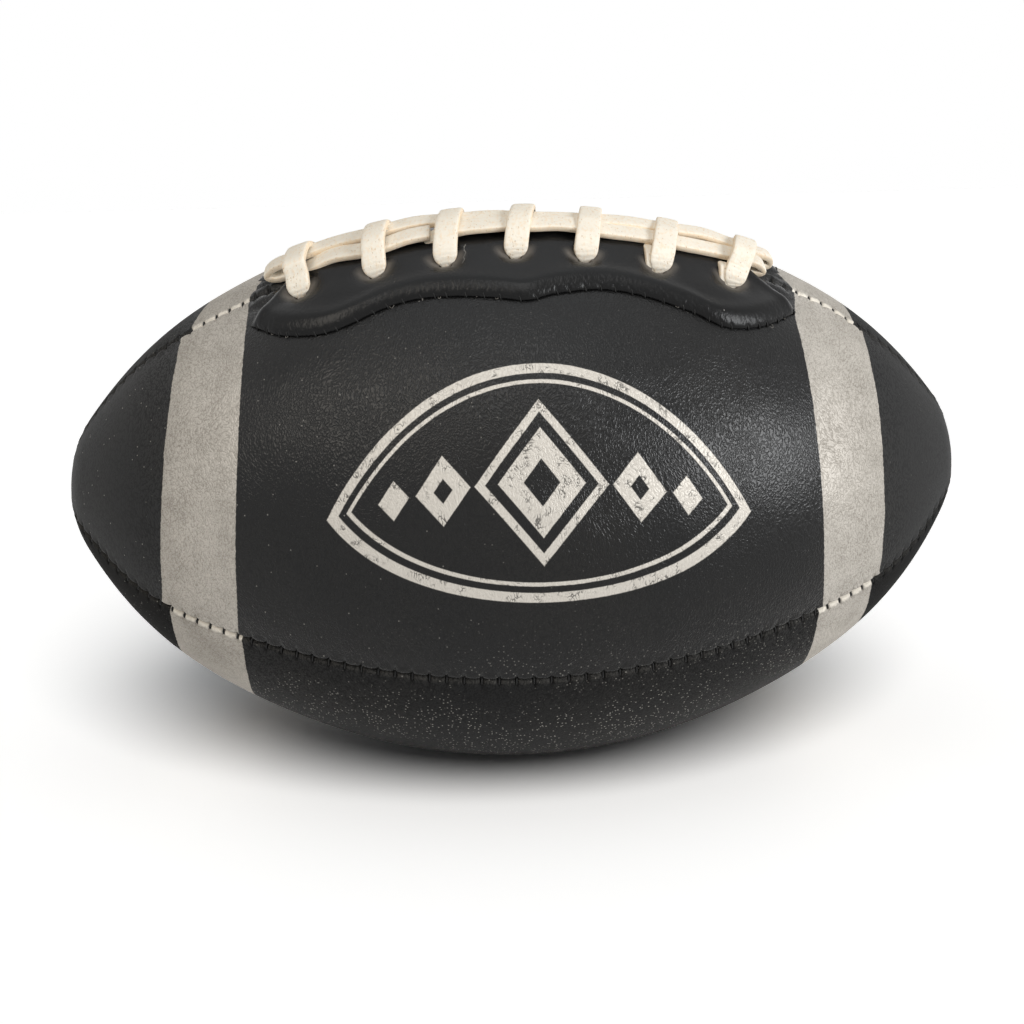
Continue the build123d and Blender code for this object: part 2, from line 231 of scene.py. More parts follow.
class Wire:
    """An output socket of a shader graph, or the bare graph where nothing has been made yet."""

    def __init__(self, tree, socket=None):
        self.tree = tree
        self.socket = socket

    def node(self, kind, settings=None, sockets=None, out=0):
        """Adds a node, sets its settings, then its sockets, and gives the wire of one output."""
        made = self.tree.nodes.new(kind)
        for name, value in (settings or {}).items():
            setattr(made, name, value)
        for name, value in (sockets or {}).items():
            if isinstance(value, Wire):
                self.tree.links.new(value.socket, made.inputs[name])
            else:
                made.inputs[name].default_value = value
        return Wire(self.tree, made.outputs[out] if made.outputs else None)

    __add__, __radd__ = math_node("ADD"), math_node("ADD", number_first=True)
    __sub__, __rsub__ = math_node("SUBTRACT"), math_node("SUBTRACT", number_first=True)
    __mul__, __rmul__ = math_node("MULTIPLY"), math_node("MULTIPLY", number_first=True)
    __truediv__ = math_node("DIVIDE")
    __abs__ = math_node("ABSOLUTE")
    least = math_node("MINIMUM")
    most = math_node("MAXIMUM")
    sine = math_node("SINE")
    root = math_node("SQRT")

    def rise(self, low, high):
        """0 at low, 1 at high, with a smooth step between."""
        settings = {"interpolation_type": "SMOOTHSTEP", "clamp": True}
        return self.node("ShaderNodeMapRange", settings, {"Value": self, "From Min": low, "From Max": high})

    def mix(self, low, high):
        """A colour between two, with this wire as the share of the second."""
        return self.node("ShaderNodeMix", {"data_type": "RGBA"}, {"Factor": self, 6: low, 7: high}, out=2)

    def noise(self, scale, detail=2.0, rough=0.5, out="Fac"):
        sockets = {"Vector": self, "Scale": scale, "Detail": detail, "Roughness": rough}
        return self.node("ShaderNodeTexNoise", None, sockets, out=out)

    def cells(self, scale):
        """Voronoi cells: the distance to the nearest middle, and a random number for each cell."""
        near = self.node("ShaderNodeTexVoronoi", None, {"Vector": self, "Scale": scale}, out="Distance")
        return near, Wire(self.tree, near.socket.node.outputs["Color"]).parts()[0]

    def stretch(self, scale, turn=(0, 0, 0)):
        return self.node("ShaderNodeMapping", None, {"Vector": self, "Scale": scale, "Rotation": turn})

    def parts(self):
        """The three numbers of a vector."""
        split = self.node("ShaderNodeSeparateXYZ", None, {"Vector": self})
        outputs = split.socket.node.outputs
        return [Wire(self.tree, socket) for socket in outputs]


def colour(red, green, blue):
    return (red, green, blue, 1)


def finish(name, shade, **constants):
    """A material whose shader gets constants on its own sockets and wires from the function shade."""
    material = bpy.data.materials.new(name)
    material.use_nodes = True
    tree = material.node_tree
    surface = tree.nodes["Principled BSDF"]
    for socket, value in constants.items():
        surface.inputs[socket.replace("_", " ")].default_value = value
    start = Wire(tree)
    coords = start.node("ShaderNodeTexCoord", out="Object")
    made = shade(start, coords)
    for socket, wire in made.items():
        if socket == "height_mm":
            bump = start.node("ShaderNodeBump", None, {"Height": wire, "Distance": MM, "Strength": 1.0})
            tree.links.new(bump.socket, surface.inputs["Normal"])
        else:
            tree.links.new(wire.socket, surface.inputs[socket])
    print("finish", name, "uses", len(tree.nodes), "nodes")
    return material


# %% [markdown]
# The cover is black leather with a fine grain, worn to a soft shine. Its pebbles are under a millimetre
# wide, longer than wide, and they swirl. Where a noise passes its middle value there is a thin winding
# line, so two sizes of noise give the creases between the pebbles, and bending the coordinates first makes
# them swirl. Dust sits on the leather in pale specks, most of it low on the ball.

# %% The grain and the dust
# Painted shade: the near black that darkens the creases of the grain.
PAINTED_CREASE_SHADE = colour(0.0030, 0.0030, 0.0031)
BLACK = colour(0.0085, 0.0085, 0.0086)
WORN_BLACK = colour(0.0128, 0.0121, 0.0113)
DUST = colour(0.46, 0.44, 0.40)
SWIRL = (0.012, 0.012, 0.012)


def leather_grain(coords):
    """Heights in mm of the grain, and a mask of its creases.

    The height grows with the distance of a noise from one half, up to a plateau: pebbles between creases.
    The ends and the underside are worn smooth, so less of the grain is kept there.
    """
    drift = coords.noise(45, 1, out="Color")
    swirl = {0: drift, 1: SWIRL, 2: coords}
    bent = coords.node("ShaderNodeVectorMath", {"operation": "MULTIPLY_ADD"}, swirl)
    pebbles = abs(bent.stretch((1.0, 0.6, 0.65), (0.3, 0.5, 0.9)).noise(1080, 1, 0.5) - 0.5)
    fine = abs(bent.stretch((0.7, 1.0, 0.8), (0.9, 0.2, 0.4)).noise(2300, 0) - 0.5)
    x, _, z = coords.parts()
    kept = (1 - 0.75 * abs(x).rise(0.098, 0.118)) * (0.3 + 0.7 * z.rise(0.025, 0.060))
    strong = (0.6 + 0.4 * coords.noise(16, 1).rise(0.35, 0.62)) * kept
    height = (pebbles.least(0.17) * 0.44 + fine.least(0.10) * 0.12) * strong
    # The crease mask sets the roughness, and the finishes also darken the creases with it as painted shade.
    return height, (1 - pebbles.rise(0.0, 0.09)) * kept


def specks(coords, scale, share, size):
    """1 in small round specks: the middles of those Voronoi cells whose random number is under the share."""
    near, lot = coords.cells(scale)
    return (1 - near.rise(size * 0.5, size)) * (1 - lot.rise(share - 0.02, share))


def dust_on(coords):
    """Dust in drifts: fine specks low on the ball, and larger ones that lie thickest on the left."""
    x, _, z = coords.parts()
    low = 1 - z.rise(0.020, 0.075)
    left = 1 - x.rise(-0.075, 0.03)
    drifts = coords.stretch((1, 1, 1.6), (0, 0.7, 0)).noise(24, 2).rise(0.42, 0.58)
    fine = specks(coords, 900, 0.70, 0.25) * drifts * low
    coarse = specks(coords, 460, 0.40, 0.12) * (0.10 + 0.4 * left + 0.38 * low * drifts)
    return fine.most(coarse)


# %% [markdown]
# Two silver grey bands and a print are painted on the leather. The paint is mottled, a little darker in the
# creases of the grain as painted shade, and it shines as metal paint does. Along the turned edges of the
# panels it goes pale, partly worn and partly as a painted highlight. The edges of the bands are not ruled:
# they lean and waver by half a millimetre. The print is a pointed oval with lozenges, from the distances to
# circles and lozenges.

# %% The paint
FRONT_BANDS = ((-102.3, -0.045, -80.7, -0.020), (83.5, 0.018, 108.0, -0.032))
TOP_BANDS = ((-100.3, 0.22, -81.2, 0.24), (83.9, -0.12, 105.6, 0.05))
LOW_BANDS = ((-104.0, 0.0, -82.0, 0.0), (84.4, 0.0, 103.0, 0.0))
SILVER = colour(0.54, 0.505, 0.455)
SILVER_DARK = colour(0.30, 0.275, 0.24)
INK = colour(0.60, 0.565, 0.51)
# Pale cream of the turned edges: partly worn bare, partly a painted highlight of the rolled edge.
PALE_EDGE_AND_HIGHLIGHT = colour(0.86, 0.81, 0.72)
FLAP = 2.6
STEEP_LEAN = 0.1
BAND_SOFT = 0.12
PRINT_CENTRE = (3.0, 80.0)
PRINT_HALF_LENGTH, PRINT_HALF_HEIGHT = 59.0, 33.0
PRINT_SOFT = 0.15
MIDDLE_FRAME = (17, 21)
MIDDLE_LOZENGES = ((12, 15), (5, 6.5))
SIDE_LOZENGES = ((7.5, 9.5), (2.6, 3.4))
SIDE_AT = 27
SMALL_LOZENGE = (4.2, 5.4)
SMALL_AT = 40.5


def band_mask(x, s, wobble, bands):
    """1 inside the painted bands. An edge is at x = place + lean * |s|, and strays by the wobble.

    Each panel was painted before it was sewn, so the edges lean another way on each. A steep lean ends soon,
    and fades towards the next seam. Right of the slit the black flaps push the edge of the band out by the
    flap's width.
    """
    x = x + wobble
    steep = max(abs(lean) for band in bands for lean in band[1::2]) > STEEP_LEAN
    s = abs(s)
    near_slit = 1 - s.rise(1, 15)
    if steep:
        s = s.least(18) * (1 - s.rise(24, 88))
    mask = None
    for low, low_lean, high, high_lean in bands:
        turned = near_slit * (FLAP if low > 0 else 0)
        inside = (x - s * low_lean - turned).rise(low - BAND_SOFT, low + BAND_SOFT)
        inside = inside * (1 - (x - s * high_lean).rise(high - BAND_SOFT, high + BAND_SOFT))
        mask = inside if mask is None else mask.most(inside)
    return mask


def stroke(distance, half_width, soft=PRINT_SOFT):
    """1 where a distance is within half a width of zero."""
    return 1 - abs(distance).rise(half_width - soft, half_width + soft)


def fill(distance):
    """1 where a distance is below zero."""
    return 1 - distance.rise(-PRINT_SOFT, PRINT_SOFT)


def lozenge(x, y, half_length, half_height):
    """Distance to a lozenge, from |x| / a + |y| / b - 1, made roughly true to size."""
    size = half_length * half_height / float(np.hypot(half_length, half_height))
    return (abs(x) / half_length + abs(y) / half_height - 1) * size


def lozenge_ring(x, y, outer, inner):
    """1 in a lozenge, but not in a smaller one inside it."""
    return fill(lozenge(x, y, *outer)) * (1 - fill(lozenge(x, y, *inner)))


def print_mask(x, s, wobble):
    """A pointed oval with a row of lozenges, in ink.

    The oval is where two circles overlap: the larger of the two distances to them is its distance.
    """
    x = x - PRINT_CENTRE[0] + wobble
    y = s - PRINT_CENTRE[1] + wobble
    radius = (PRINT_HALF_LENGTH**2 + PRINT_HALF_HEIGHT**2) / (2 * PRINT_HALF_HEIGHT)
    height = abs(y) + (radius - PRINT_HALF_HEIGHT)
    oval = (x * x + height * height).root() - radius
    side = abs(x)
    mask = stroke(oval + 1.4, 1.4).most(stroke(oval + 5.2, 0.55))
    mask = mask.most(stroke(lozenge(x, y, *MIDDLE_FRAME), 1.1))
    mask = mask.most(lozenge_ring(x, y, *MIDDLE_LOZENGES))
    mask = mask.most(lozenge_ring(side - SIDE_AT, y, *SIDE_LOZENGES))
    return mask.most(fill(lozenge(side - SMALL_AT, y, *SMALL_LOZENGE)))


# %% The black leather
def black_leather(bands_here, printed, edge_wear_and_highlight, matt):
    """The shade function of a panel: its bands, whether it has the print, how pale its turned edges go.

    Their pale is partly wear and partly a painted highlight of the rolled edge, and the creases of the grain
    get painted shade. Hands have polished the middle of the front. Its ends and the other panels are more
    matt, by an amount added to the roughness.
    """
    def shade(start, coords):
        x, s, inset = start.node("ShaderNodeAttribute", {"attribute_name": "skin"}, out="Vector").parts()
        grain, creases = leather_grain(coords)
        wobble = coords.noise(900, 2) * 0.5 + coords.noise(70, 1) * 0.9 - 0.7
        blotches = coords.noise(90, 3, 0.6)
        bands = band_mask(x, s, wobble, bands_here)
        flecks = coords.noise(2600, 2)
        # Painted shade and random tone: the silver is darker in the creases of the grain, in blotches and in
        # flecks.
        dark = creases * 0.35 + blotches.rise(0.35, 0.75) * 0.35 + flecks.rise(0.38, 0.66) * 0.45
        silver = dark.mix(SILVER, SILVER_DARK)
        # Partly wear, partly painted highlight: near the turned edges the silver goes pale cream, the black
        # gets pale flecks.
        pale_rim = (1 - (inset + coords.noise(900, 2) * 1.6).rise(1.5, 2.9)) * edge_wear_and_highlight
        silver = pale_rim.mix(silver, PALE_EDGE_AND_HIGHLIGHT)
        worn = coords.noise(18, 2).rise(0.4, 0.7) * 0.7 + flecks.rise(0.5, 0.75) * 0.5
        black = worn.mix(BLACK, WORN_BLACK)
        # Painted shade: the creases of the black leather are darkened to near black.
        black = (creases * 0.8).mix((pale_rim * flecks * 0.12).mix(black, DUST), PAINTED_CREASE_SHADE)
        shown = bands.mix(dust_on(coords).mix(black, DUST), silver)
        paint = bands
        if printed:
            ink = print_mask(x, s, wobble * 0.35) * (1 - creases * coords.noise(300, 2).rise(0.5, 0.66) * 0.8)
            # The ink is darkened in the creases as painted shade, and in blotches as tone.
            shown = ink.mix(shown, (creases * 0.45 + blotches.rise(0.4, 0.7) * 0.25).mix(INK, SILVER))
            paint = bands.most(ink)
        return {
            "Base Color": shown,
            "Roughness": 0.20 + matt + creases * 0.25 + 0.42 * abs(x).rise(84, 112) + 0.25 * paint,
            "Metallic": paint * 0.22,
            "height_mm": grain + paint * 0.02,
        }
    return shade


front_leather = finish("front_leather", black_leather(FRONT_BANDS, True, 0.0, 0.0), Specular_IOR_Level=0.22)
top_leather = finish("top_leather", black_leather(TOP_BANDS, False, 0.9, 0.15), Specular_IOR_Level=0.17)
low_leather = finish("low_leather", black_leather(LOW_BANDS, False, 0.9, 0.40), Specular_IOR_Level=0.11)

# %% [markdown]
# A piece is one or more grids of points: row by row, column by column. Where a grid closes on itself, its
# last column joins the first. Rows that shrink to one point are merged, so that tips and ends are closed.
# Each point also keeps its place on the skin as an attribute, which the finishes read.


# %% From grids to pieces
def piece(name, grids, material, nodes, attribute):
    """Makes one object from grids of (points, marks), each closed across its columns."""
    corners, faces, notes, start = [], [], [], 0
    for points, marks in grids:
        rows, columns = points.shape[:2]
        index = start + np.arange(rows * columns).reshape(rows, columns)
        after = np.roll(index, -1, axis=1)
        quads = np.stack([index[:-1], after[:-1], after[1:], index[1:]], axis=-1)
        corners.append(points.reshape(-1, 3))
        notes.append(np.broadcast_to(marks, points.shape).reshape(-1, 3))
        faces.append(quads.reshape(-1, 4))
        start += rows * columns
    mesh = bpy.data.meshes.new(name)
    mesh.from_pydata(np.concatenate(corners).tolist(), [], np.concatenate(faces).tolist())
    layer = mesh.attributes.new(attribute, "FLOAT_VECTOR", "POINT")
    layer.data.foreach_set("vector", np.concatenate(notes).astype(np.float32).ravel())
    clean = bmesh.new()
    clean.from_mesh(mesh)
    bmesh.ops.remove_doubles(clean, verts=clean.verts, dist=1e-7)
    bmesh.ops.recalc_face_normals(clean, faces=clean.faces)
    clean.to_mesh(mesh)
    clean.free()
    mesh.polygons.foreach_set("use_smooth", np.ones(len(mesh.polygons), dtype=bool))
    mesh.materials.append(material)
    made = bpy.data.objects.new(name, mesh)
    bpy.context.collection.objects.link(made)
    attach(made, "root")
    if nodes:
        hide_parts(*nodes)
    print(name, len(mesh.vertices), "points,", len(mesh.polygons), "faces")


# %% [markdown]
# A panel is a pointed leaf, a quarter of the ball wide. Its long edges turn in where it is sewn to its
# neighbour, and each stitch pulls a short notch into the turned edge. The grid runs along the seam in rows
# that crowd at every stitch, and across the leaf in columns that crowd at the edges. The columns go on
# round the back of the leather, so the panel is a closed piece with its real thickness.

# %% The four panels
STITCH_PITCH = 4.85
STITCH_REACH = 170.1
EDGE_ZONE = 10.0
LEATHER = 2.9
SEAM_GAP = 0.15
SLIT_LEFT, SLIT_RIGHT = -73.0, 77.0
FOLDS_LEFT, FOLDS_RIGHT = -79, 82
PUFF = 0.30
VALVE_RADIUS = 4.0
VALVE_SWELL = 1.05
VALVE_SINK = 1.7

stitch_count = int(round(2 * STITCH_REACH / STITCH_PITCH)) + 1
stitch_arcs = np.linspace(-STITCH_REACH, STITCH_REACH, stitch_count)
crowd = np.array([-2.0, -1.25, -0.85, -0.55, -0.28, 0, 0.28, 0.55, 0.85, 1.25, 2.0])
tip_rows = STITCH_REACH + np.array([3.0, 4.2, 5.4, 6.6, 7.6, 8.2])
tip_rows = np.append(tip_rows[tip_rows < SEAM_HALF - 0.2], SEAM_HALF)
panel_rows = np.concatenate([-tip_rows[::-1], np.add.outer(stitch_arcs, crowd).ravel(), tip_rows])
middle = np.linspace(-1, 1, 23)


def edge_profile(radius):
    """How far in from the seam and how deep the edge columns lie: a wall, then a quarter round."""
    quarter = np.radians(np.linspace(0, 90, 7))
    wall = [1.4, SEAM_GAP, SEAM_GAP]
    turned = SEAM_GAP + radius * (1 - np.cos(quarter))
    beyond = radius + np.array([0.6, 1.3, 2.1, 3.1, 4.4, 5.8])
    inset = np.concatenate([wall, turned, beyond])
    sink = np.concatenate([[LEATHER, 2.7, 2.3], radius * (1 - np.sin(quarter)), np.zeros(len(beyond))])
    return inset, sink


def notch(arc, width):
    """1 at each stitch, falling off as a bell of the given width along the seam."""
    return bell(np.abs(arc[..., None] - stitch_arcs).min(axis=-1), width)


def wrapped(roll):
    """The same angle between minus and plus half a turn."""
    return np.angle(np.exp(1j * roll))


def slit_end_folds(arc, roll, from_edge):
    """Where the slit ends, the turned edges of the two panels swell, with a crease along each swelling."""
    ends = bell(arc - FOLDS_RIGHT, 5.5) + bell(arc - FOLDS_LEFT, 5.0)
    beside = np.abs(wrapped(roll)) < np.pi / 4
    swell = bell(from_edge - 3.0, 1.9) - 0.7 * bell(from_edge - 6.0, 0.8)
    return ends * beside * (swell + 0.35 * bell(from_edge - 8.0, 1.4))


def panel(name, turn, radius, pull, extra, material):
    """One panel: the angle of its middle, the rounding of its edges and the depth of its notches."""
    edge_inset, edge_sink = edge_profile(radius)
    across = np.unique(np.concatenate([middle, extra]))
    edge_hold = np.ones(len(edge_inset))
    under = [0.9, 0.3, -0.3, -0.9]
    hold = np.concatenate([-edge_hold, across, edge_hold, under])
    inside = np.full(len(across), EDGE_ZONE)
    inset = np.concatenate([edge_inset, inside, edge_inset[::-1], np.full(len(under), EDGE_ZONE)])
    sink = np.concatenate([edge_sink, np.zeros(len(across)), edge_sink[::-1], np.full(len(under), LEATHER)])
    arc = panel_rows[:, None]
    x, girth, _, _ = meridian(arc)
    half = girth * np.pi / 4
    scale = np.minimum(1, half / (2 * EDGE_ZONE))
    share = hold * (1 - inset * np.minimum(1 / np.maximum(half, 1e-9), 1 / (2 * EDGE_ZONE)))
    roll = turn + np.pi / 4 * share
    from_edge = half * (1 - np.abs(share))
    sewn = notch(panel_rows, 0.36)[:, None]
    puff = 1 - notch(panel_rows, 1.4)[:, None]
    in_slit = smooth_step(SLIT_LEFT - 2, SLIT_LEFT, arc) * (1 - smooth_step(SLIT_RIGHT, SLIT_RIGHT + 2, arc))
    at_lacing = (np.abs(wrapped(roll)) < np.pi / 4) * in_slit
    edge = (1 - smooth_step(1.2, 2.9, from_edge)) * (1 - at_lacing)
    outside = sink < 2.2
    relief = outside * (edge * (PUFF * puff - pull * sewn) + slit_end_folds(arc, roll, from_edge))
    stand = (relief - sink) * scale
    if name == "top_panel":
        valve = np.hypot(arc, half * share)
        dish = 1 - smooth_step(VALVE_RADIUS - 0.3, VALVE_RADIUS + 2.2, valve)
        stand = stand + outside * (VALVE_SWELL * bell(valve, 13) - VALVE_SINK * dish)
    points = skin(arc, roll, stand)
    around = wrapped(roll) * girth
    marks = np.stack(np.broadcast_arrays(x, around, from_edge), axis=-1)
    node = "panel_" + name.split("_")[0]
    piece(name, [(points, marks)], material, [node], "skin")


near_valve = np.array([1.2, 2.4, 3.4, 4.1, 4.8, 5.6, 6.6, 8.2]) / (HALF_GIRTH * np.pi / 4 - EDGE_ZONE)
panel("front_panel", np.radians(45), 1.1, 0.5, [], front_leather)
panel("bottom_panel", np.radians(135), 1.7, 1.7, [], low_leather)
panel("rear_panel", np.radians(-135), 1.5, 1.2, [], low_leather)
panel("top_panel", np.radians(-45), 1.9, 1.5, np.concatenate([-near_valve, near_valve]), top_leather)

# %% [markdown]
# Soft curves with few points are needed next, for the wavy edge of the facings and for the lace. A natural
# cubic spline does this: it bends as a thin strip of wood does when it is held at the points.


# %% A spline through a few points
def spline(knots, values, at):
    """Natural cubic spline: solves for the second derivatives, then adds up the cubic of each stretch."""
    x = np.asarray(knots, float)
    y = np.asarray(values, float).reshape(len(x), -1)
    gap = np.diff(x)
    count = len(x)
    matrix = np.eye(count)
    inner = np.arange(1, count - 1)
    matrix[inner, inner - 1] = gap[:-1]
    matrix[inner, inner] = 2 * (gap[:-1] + gap[1:])
    matrix[inner, inner + 1] = gap[1:]
    slopes = np.diff(y, axis=0) / gap[:, None]
    right_side = np.zeros_like(y)
    right_side[1:-1] = 6 * np.diff(slopes, axis=0)
    second = np.linalg.solve(matrix, right_side)
    k = np.clip(np.searchsorted(x, at) - 1, 0, count - 2)
    before = (x[k + 1] - at)[:, None]
    after = (at - x[k])[:, None]
    width = gap[k][:, None]
    cubic = (second[k] * before**3 + second[k + 1] * after**3) / (6 * width)
    from_left = (y[k] / width - second[k] * width / 6) * before
    from_right = (y[k + 1] / width - second[k + 1] * width / 6) * after
    return cubic + (from_left + from_right)


def along(points, count):
    """A spline through points, at count places that are evenly spaced by the chords' length."""
    points = np.asarray(points, float)
    chords = np.concatenate([[0], np.cumsum(np.linalg.norm(np.diff(points[:, :3], axis=0), axis=1))])
    return spline(chords, points, np.linspace(0, chords[-1], count))


def on_skin(flat):
    """Lays points on the ball: along the slit, across it (front is +) and out of the leather, in mm."""
    arc, across, stand = np.moveaxis(flat, -1, 0)
    girth = meridian(arc)[1]
    return skin(arc, across / girth, stand)


# %% [markdown]
# Two facings of softer leather lie along the slit. Each falls in a soft round to its wavy edge, where the
# sewing gathers it in small pleats. The lace goes through it in seven holes, each in a dimple that the lace
# has rubbed pale. The grid goes from the slit to the wavy edge, and the height over the cover is a sum of
# these forms. Beyond its ends the turned edges of the panels show as a wedge.

# %% The finish of the facings
FACING_BLACK = colour(0.0045, 0.0045, 0.0046)
RUBBED = colour(0.12, 0.108, 0.095)
SCRATCH_ARC = -15.6


def facing_shade(start, coords):
    """Black leather with fine wrinkles. The third mark is + on pale rims round the holes, - where gathered.
    """
    x, s, wear = start.node("ShaderNodeAttribute", {"attribute_name": "skin"}, out="Vector").parts()
    pale_rim = wear.most(0)
    gathered = (0 - wear).most(0)
    wrinkles = abs(coords.stretch((1.0, 0.5, 0.5), (0.2, 0.3, 0.7)).noise(1000, 1, 0.4) - 0.5).least(0.15)
    pleats = start.node("ShaderNodeCombineXYZ", None, {0: x, 1: s * 0.22}).noise(1.25, 2, 0.6)
    stray = (coords.noise(420, 2) - 0.5) * 3.0
    scratch = stroke(x - SCRATCH_ARC + stray + (s - 10) * 0.12, 0.10, 0.08)
    scratch = scratch * s.rise(6.2, 7.0) * (1 - s.rise(13.0, 14.0))
    dust = specks(coords, 230, 0.14, 0.05).most(scratch * 0.5)
    black = dust.mix(FACING_BLACK, DUST)
    return {
        "Base Color": (pale_rim * (0.55 + 0.9 * coords.noise(420, 2))).mix(black, RUBBED),
        "Roughness": 0.21 + 0.08 * coords.noise(60, 2) + 0.2 * pale_rim + 0.02 * gathered,
        "height_mm": wrinkles * 0.18 + gathered * pleats * 0.10,
    }


facing_leather = finish("facing_leather", facing_shade, Specular_IOR_Level=0.18)

# %% The two facings
HOLES = np.array([
    (-65.9, 9.7), (-42.4, 11.2), (-21.5, 12.2), (-1.0, 11.4), (19.4, 12.2), (41.7, 12.6), (65.2, 11.0),
])
LACE_LEAN = np.array([1.9, 2.2, 3.2, 4.0, 3.6, 4.8, 6.3])
LACE_TOP = np.array([7.6, 7.1, 6.6, 6.5, 6.0, 6.1, 7.8])
REAR_SPOT = 12.4
REAR_HOLES = np.stack([HOLES[:, 0] + 1.15 * LACE_LEAN, np.full(len(HOLES), REAR_SPOT)], axis=1)
FACING_EDGE = [
    (-82.9, 12.8), (-77.7, 17.4), (-72.4, 21.3), (-65.7, 24.3), (-59.9, 26.1), (-51.6, 26.3), (-41.1, 24.0),
    (-31.0, 22.9), (-18.3, 24.1), (-4.6, 26.5), (2.7, 27.2), (8.0, 25.5), (14.0, 24.1), (21.6, 22.6),
    (27.2, 22.3), (34.8, 22.7), (46.6, 24.6), (53.0, 25.8), (59.2, 27.4), (66.6, 26.2), (77.5, 20.6),
    (88.4, 11.4),
]
FACING_SLIT = ((-70.2, 0.9), (72.8, 1.2))
DIMPLE_DEPTH = 1.3
HOLE_DEPTH = 2.6
PLEAT_HEIGHT = 0.028
NICK_DEPTH = 0.40
draw = np.random.default_rng(11)
wavy = along(FACING_EDGE, 560)
wavy_run = np.concatenate([[0], np.cumsum(np.linalg.norm(np.diff(wavy, axis=0), axis=1))])
nicks = np.cumsum(draw.uniform(3.0, 6.4, 80))
nicks = nicks[nicks < wavy_run[-1] - 1]


def rounded(distance, radius):
    """A quarter round: 0 at the edge and 1 from the radius on."""
    return np.sqrt(1 - (1 - np.clip(distance / radius, 0, 1))**2)


def from_line(flat, first, last):
    """Distance from the line through two points, + on the side of the facing's middle."""
    way = np.subtract(last, first) / np.linalg.norm(np.subtract(last, first))
    square = np.array([-way[1], way[0]])
    away = (flat - first) @ square
    return away * np.sign((np.array([0, 12]) - first) @ square)


def facing(name, side, holes, height, lift):
    """One facing: its side of the slit (+1 is the front), its height, and its lift along the slit."""
    share = np.concatenate([np.linspace(0, 0.06, 5), np.linspace(0.08, 0.82, 34), np.linspace(0.84, 1, 20)])
    steps = np.linspace(0, 1, len(wavy))[:, None]
    slit = (1 - steps) * FACING_SLIT[0] + steps * FACING_SLIT[1]
    flat = slit[:, None, :] * (1 - share[:, None]) + wavy[:, None, :] * share[:, None]
    arc, across = flat[..., 0], flat[..., 1]
    span = np.linalg.norm(wavy - slit, axis=1)[:, None]
    to_edge = (1 - share) * span
    to_slit = share * span
    run = wavy_run[:, None]
    to_end = np.minimum(from_line(flat, slit[0], wavy[0]), from_line(flat, slit[-1], wavy[-1]))
    nick = bell(np.abs(run[..., None] - nicks).min(axis=-1), 0.55)
    roll = 0.55 * bell(to_edge - 4.6, 3.0) + 0.4 * bell(to_end - 3.0, 2.0)
    wide_pleats = np.sin(2 * np.pi * run / 2.3 + 2.5 * np.sin(run / 6.1))
    fine_pleats = np.sin(2 * np.pi * run / 1.5 + 2 * np.sin(run / 3.7))
    pleat = PLEAT_HEIGHT * (wide_pleats + 0.6 * fine_pleats) * bell(to_edge - 1.7, 1.3)
    top = height + lift * bell(to_slit, 7) + roll + pleat
    pale_rim = np.zeros_like(top)
    for hole, spot in holes:
        top = top - DIMPLE_DEPTH * np.exp(-((arc - hole) / 4.6)**2 - ((across - spot) / 2.8)**2)
        slot = smooth_step(-2.0, -1.3, -np.abs(arc - hole)) * smooth_step(-1.0, -0.5, -np.abs(across - spot))
        top = top - HOLE_DEPTH * slot
        ring = np.hypot(arc - hole, across - spot + 3.4)
        rim = bell(ring - 4.4, 1.5) * smooth_step(-4.5, -1.5, across - spot)
        pale_rim = np.maximum(pale_rim, rim)
    top = np.maximum(top, 0.15) * rounded(to_slit + 0.05, 1.2)
    top = top * rounded(to_edge + 0.2, 6.0) * rounded(to_end + 0.1, 4.0)
    top = np.maximum(top - NICK_DEPTH * nick * bell(to_edge, 0.9), 0.1)
    gathered = bell(to_edge - 1.4, 1.5) * smooth_step(2, 6, to_end)
    points = on_skin(np.stack([arc, side * across, top], axis=-1))
    under = on_skin(np.stack([arc, side * across, np.full_like(top, -0.4)], axis=-1))[:, [-1, 0]]
    marks = np.stack([arc, side * across, pale_rim - gathered], axis=-1)
    points = np.concatenate([points, under], axis=1)
    marks = np.concatenate([marks, marks[:, [-1, 0]]], axis=1)
    ends = [row.mean(axis=1, keepdims=True) for row in (points[:1], points[-1:])]
    ends = [end.repeat(points.shape[1], axis=1) for end in ends]
    points = np.concatenate([ends[0], points, ends[1]])
    marks = np.concatenate([marks[:1], marks, marks[-1:]])
    node = "lace_facing_" + name.split("_")[0]
    piece(name, [(points, marks)], facing_leather, [node], "skin")


facing("front_facing", 1, HOLES, 2.4, 1.1)
facing("top_facing", -1, REAR_HOLES, 1.4, 1.5)

# %% [markdown]
# The lace is one flat strip of cream leather, 6 to 7 mm wide and 2 mm thick. It is drawn here as ribbons: a
# rounded cross-section carried along a path. The paths are written on the flat, along and across the slit,
# and then laid on the ball. Each cross lace comes out of its front hole, goes up over the strands and down
# the rear hole. It is drawn into a hole with rounded shoulders, and creases a little there.

# %% The finish of the lace
CREAM = colour(0.940, 0.873, 0.752)
LIGHT_TAN = colour(0.92, 0.750, 0.545)
TAN = colour(0.72, 0.53, 0.34)


